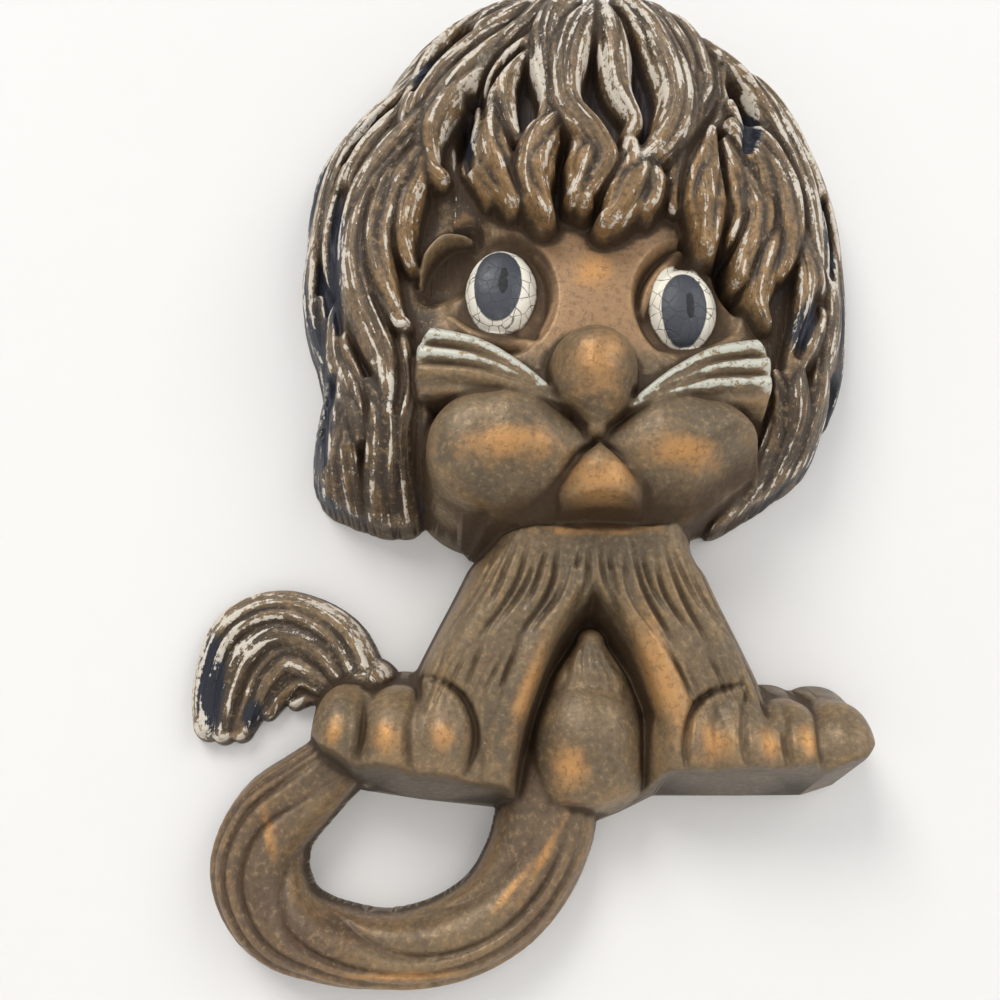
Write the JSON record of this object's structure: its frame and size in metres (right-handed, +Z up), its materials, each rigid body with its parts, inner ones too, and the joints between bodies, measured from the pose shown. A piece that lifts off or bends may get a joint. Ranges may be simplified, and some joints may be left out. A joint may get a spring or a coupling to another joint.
{
  "type": "lion wall plaque",
  "caption": "Seated lion wall plaque in high relief, with a shaggy mane, paws on a ledge and a tail curled into an open ring, painted as old bronze.",
  "frame": {"origin": "the hanging point on the flat back, on the face's axis", "axes": "+Z up as it hangs, +Y into the wall, so the lion looks towards -Y"},
  "size_m": [0.2571, 0.0664, 0.4135],
  "materials": {
    "bronze_paint": "antique bronze paint over plaster, satin, with navy, white and gold"
  },
  "bodies": {
    "root": {"lion_plaque": "bronze_paint"}
  },
  "joints": []
}
